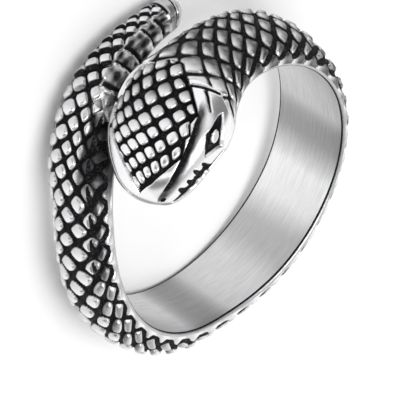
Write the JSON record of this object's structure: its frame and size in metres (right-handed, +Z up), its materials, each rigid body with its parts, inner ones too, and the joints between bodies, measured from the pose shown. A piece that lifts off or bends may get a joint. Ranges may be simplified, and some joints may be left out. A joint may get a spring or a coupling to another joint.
{
  "type": "snake ring",
  "caption": "Finger ring cast as a coiled snake: scaled body round the finger, broad head lying beside the tapered tail.",
  "frame": {"origin": "middle of the bounding box on the surface the ring lies on", "axes": "+Z up from that surface, close to the bore's axis; -Y towards the front, where the head is"},
  "size_m": [0.0242, 0.0244, 0.0121],
  "materials": {
    "snake_ring": "polished scales with blackened grooves, satin bore"
  },
  "bodies": {
    "root": {"snake_ring": "snake_ring"}
  },
  "joints": []
}
